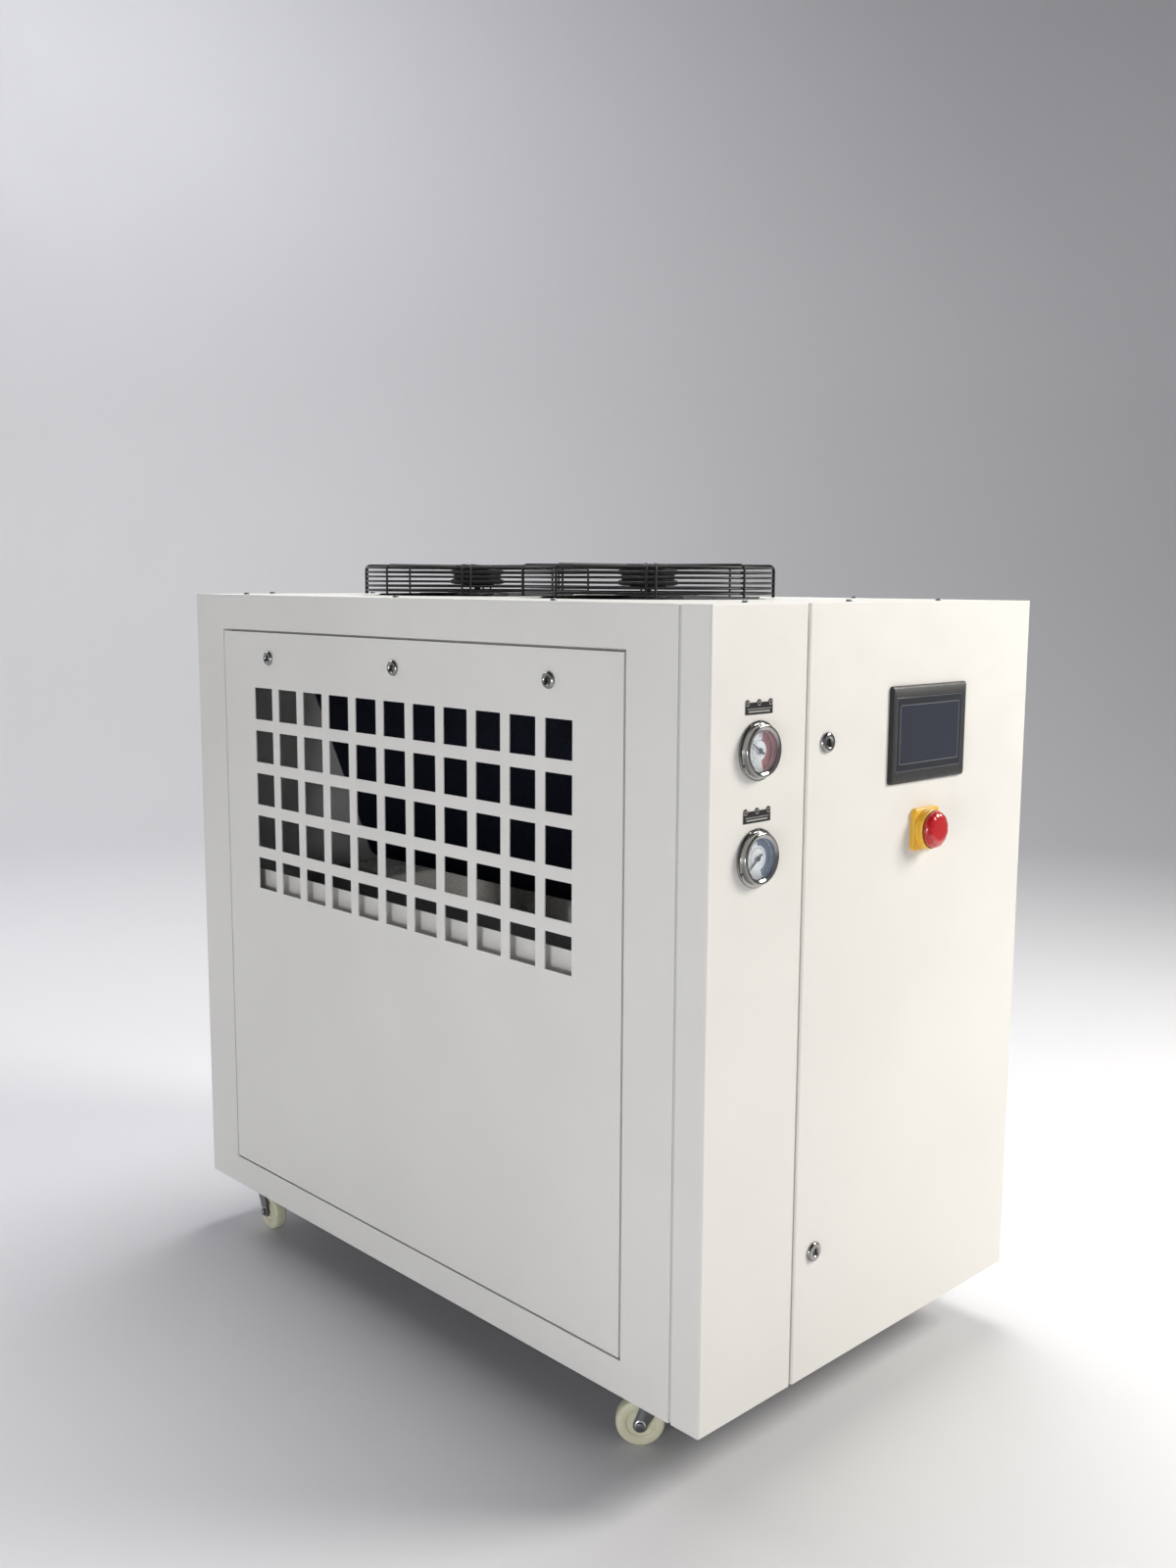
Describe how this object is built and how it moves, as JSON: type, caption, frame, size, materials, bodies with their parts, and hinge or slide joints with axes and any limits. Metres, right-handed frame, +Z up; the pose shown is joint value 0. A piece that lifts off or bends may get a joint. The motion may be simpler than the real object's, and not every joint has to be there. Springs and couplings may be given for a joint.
{
  "type": "water chiller",
  "caption": "Packaged air-cooled water chiller in a sheet-metal cabinet on castors, with vented side panels, roof fans under wire guards, pressure gauges, touch screen and a hinged door.",
  "frame": {"origin": "on the floor under the middle of the cabinet", "axes": "+Z up, +Y from the control front to the back, +X towards the hinge side of the door"},
  "size_m": [0.808, 1.3606, 1.31],
  "materials": {
    "cabinet_paint": "smooth off-white powder coat, semi-gloss",
    "inner_paint": "off-white powder coat on the inside sheets",
    "galvanised": "plain galvanised sheet steel",
    "chrome": "bright chrome plating",
    "lock_steel": "dark plated lock cores and cams",
    "guard_black": "black coated steel wire",
    "coil_black": "black-blue coated aluminium fins",
    "motor_black": "satin black paint",
    "screen_black": "fine textured black plastic",
    "screen_glass": "dark navy touch glass, switched off",
    "gauge_glass": "clear flat gauge glass",
    "dial_white": "printed white dial with plain numbers",
    "needle_paint": "dark blue needle",
    "label_black": "bare black plate",
    "isolator_yellow": "yellow moulded plastic",
    "knob_red": "glossy red moulded plastic",
    "castor_steel": "zinc plated pressed steel",
    "wheel_nylon": "cream nylon",
    "port_brass": "machined brass",
    "gland_plastic": "black nylon gland",
    "device_grey": "moulded plastic of switchgear",
    "duct_grey": "grey wiring duct plastic",
    "frame_paint": "grey-white painted steel"
  },
  "bodies": {
    "cabinet": {"base_frame": "frame_paint", "corner_posts": "frame_paint", "front_frame": "frame_paint", "control_compartment": "galvanised", "mounting_plate": "galvanised", "left_surround": "cabinet_paint", "right_surround": "cabinet_paint", "left_access_panel": "cabinet_paint", "right_access_panel": "cabinet_paint", "panel_lock_housings": "chrome", "rear_panel": "cabinet_paint", "water_ports": "port_brass", "cable_gland": "gland_plastic", "top_panel": "cabinet_paint", "coil_shelf": "inner_paint", "bay_rails": "cabinet_paint", "coil_rear_wall": "galvanised", "drain_tray": "galvanised", "condenser_coil": "coil_black", "gear_rails": "galvanised", "gear_devices": "device_grey", "wiring_ducts": "duct_grey", "gauge_panel": "cabinet_paint", "gauge_bezels": "chrome", "gauge_cases": "motor_black", "gauge_dials": "dial_white", "gauge_glasses": "gauge_glass", "gauge_labels": "label_black", "cabinet_hinges": "lock_steel", "front_fan_guard": "guard_black", "rear_fan_guard": "guard_black", "fan_motors": "motor_black", "castor_plates": "castor_steel"},
    "door": {"door": "cabinet_paint", "door_hinges": "lock_steel", "screen_bezel": "screen_black", "screen_glass": "screen_glass", "isolator_plate": "isolator_yellow", "door_lock_housings": "chrome"},
    "upper_gauge_needle": {"upper_gauge_needle": "needle_paint"},
    "lower_gauge_needle": {"lower_gauge_needle": "needle_paint"},
    "isolator_knob": {"isolator_knob": "knob_red"},
    "upper_door_lock": {"upper_door_lock": "lock_steel"},
    "lower_door_lock": {"lower_door_lock": "lock_steel"},
    "front_fan_rotor": {"front_fan_rotor": "motor_black"},
    "rear_fan_rotor": {"rear_fan_rotor": "motor_black"},
    "left_lock_front": {"left_lock_front": "lock_steel"},
    "left_lock_middle": {"left_lock_middle": "lock_steel"},
    "left_lock_rear": {"left_lock_rear": "lock_steel"},
    "right_lock_front": {"right_lock_front": "lock_steel"},
    "right_lock_middle": {"right_lock_middle": "lock_steel"},
    "right_lock_rear": {"right_lock_rear": "lock_steel"},
    "castor_fork_front_left": {"castor_fork_front_left": "castor_steel"},
    "castor_wheel_front_left": {"castor_wheel_front_left": "wheel_nylon"},
    "castor_fork_front_right": {"castor_fork_front_right": "castor_steel"},
    "castor_wheel_front_right": {"castor_wheel_front_right": "wheel_nylon"},
    "castor_fork_rear_left": {"castor_fork_rear_left": "castor_steel"},
    "castor_wheel_rear_left": {"castor_wheel_rear_left": "wheel_nylon"},
    "castor_fork_rear_right": {"castor_fork_rear_right": "castor_steel"},
    "castor_wheel_rear_right": {"castor_wheel_rear_right": "wheel_nylon"}
  },
  "joints": [
    {"name": "door_swing", "type": "hinge", "parent": "cabinet", "child": "door", "pos_m": [0.402, -0.5955, 0.7], "axis": [0, 0, 1], "range_deg": [0, 110]},
    {"name": "isolator_turn", "type": "hinge", "parent": "door", "child": "isolator_knob", "pos_m": [0.102, -0.65, 0.9085], "axis": [0, 1, 0], "range_deg": [0, 90]},
    {"name": "upper_door_lock_turn", "type": "hinge", "parent": "door", "child": "upper_door_lock", "pos_m": [-0.145, -0.65, 1.058], "axis": [0, -1, 0], "range_deg": [0, 90]},
    {"name": "lower_door_lock_turn", "type": "hinge", "parent": "door", "child": "lower_door_lock", "pos_m": [-0.145, -0.65, 0.3016], "axis": [0, -1, 0], "range_deg": [0, 90]},
    {"name": "left_lock_front_turn", "type": "hinge", "parent": "cabinet", "child": "left_lock_front", "pos_m": [-0.395, -0.34285, 1.1406], "axis": [-1, 0, 0], "range_deg": [0, 90]},
    {"name": "left_lock_middle_turn", "type": "hinge", "parent": "cabinet", "child": "left_lock_middle", "pos_m": [-0.395, 0.02915, 1.1406], "axis": [-1, 0, 0], "range_deg": [0, 90]},
    {"name": "left_lock_rear_turn", "type": "hinge", "parent": "cabinet", "child": "left_lock_rear", "pos_m": [-0.395, 0.40115, 1.1406], "axis": [-1, 0, 0], "range_deg": [0, 90]},
    {"name": "right_lock_front_turn", "type": "hinge", "parent": "cabinet", "child": "right_lock_front", "pos_m": [0.395, -0.34285, 1.1406], "axis": [1, 0, 0], "range_deg": [0, 90]},
    {"name": "right_lock_middle_turn", "type": "hinge", "parent": "cabinet", "child": "right_lock_middle", "pos_m": [0.395, 0.02915, 1.1406], "axis": [1, 0, 0], "range_deg": [0, 90]},
    {"name": "right_lock_rear_turn", "type": "hinge", "parent": "cabinet", "child": "right_lock_rear", "pos_m": [0.395, 0.40115, 1.1406], "axis": [1, 0, 0], "range_deg": [0, 90]},
    {"name": "upper_needle_turn", "type": "hinge", "parent": "cabinet", "child": "upper_gauge_needle", "pos_m": [-0.297, -0.655, 1.058], "axis": [0, 1, 0], "range_deg": [-75, 195]},
    {"name": "lower_needle_turn", "type": "hinge", "parent": "cabinet", "child": "lower_gauge_needle", "pos_m": [-0.297, -0.655, 0.912], "axis": [0, 1, 0], "range_deg": [-8, 262]},
    {"name": "front_fan_spin", "type": "hinge", "parent": "cabinet", "child": "front_fan_rotor", "pos_m": [0, -0.159, 1.253], "axis": [0, 0, 1], "continuous": true},
    {"name": "rear_fan_spin", "type": "hinge", "parent": "cabinet", "child": "rear_fan_rotor", "pos_m": [0, 0.292, 1.253], "axis": [0, 0, 1], "continuous": true},
    {"name": "castor_swivel_front_left", "type": "hinge", "parent": "cabinet", "child": "castor_fork_front_left", "pos_m": [-0.311, -0.498, 0.093], "axis": [0, 0, 1], "continuous": true},
    {"name": "castor_roll_front_left", "type": "hinge", "parent": "castor_fork_front_left", "child": "castor_wheel_front_left", "pos_m": [-0.33045, -0.47786, 0.037], "axis": [0.7193, 0.6947, 0], "continuous": true},
    {"name": "castor_swivel_front_right", "type": "hinge", "parent": "cabinet", "child": "castor_fork_front_right", "pos_m": [0.311, -0.498, 0.093], "axis": [0, 0, 1], "continuous": true},
    {"name": "castor_roll_front_right", "type": "hinge", "parent": "castor_fork_front_right", "child": "castor_wheel_front_right", "pos_m": [0.30142, -0.47169, 0.037], "axis": [0.9397, 0.342, 0], "continuous": true},
    {"name": "castor_swivel_rear_left", "type": "hinge", "parent": "cabinet", "child": "castor_fork_rear_left", "pos_m": [-0.325, 0.569, 0.093], "axis": [0, 0, 1], "continuous": true},
    {"name": "castor_roll_rear_left", "type": "hinge", "parent": "castor_fork_rear_left", "child": "castor_wheel_rear_left", "pos_m": [-0.32793, 0.54115, 0.037], "axis": [-0.9945, 0.1045, 0], "continuous": true},
    {"name": "castor_swivel_rear_right", "type": "hinge", "parent": "cabinet", "child": "castor_fork_rear_right", "pos_m": [0.325, 0.569, 0.093], "axis": [0, 0, 1], "continuous": true},
    {"name": "castor_roll_rear_right", "type": "hinge", "parent": "castor_fork_rear_right", "child": "castor_wheel_rear_right", "pos_m": [0.311, 0.54475, 0.037], "axis": [-0.866, 0.5, 0], "continuous": true}
  ]
}
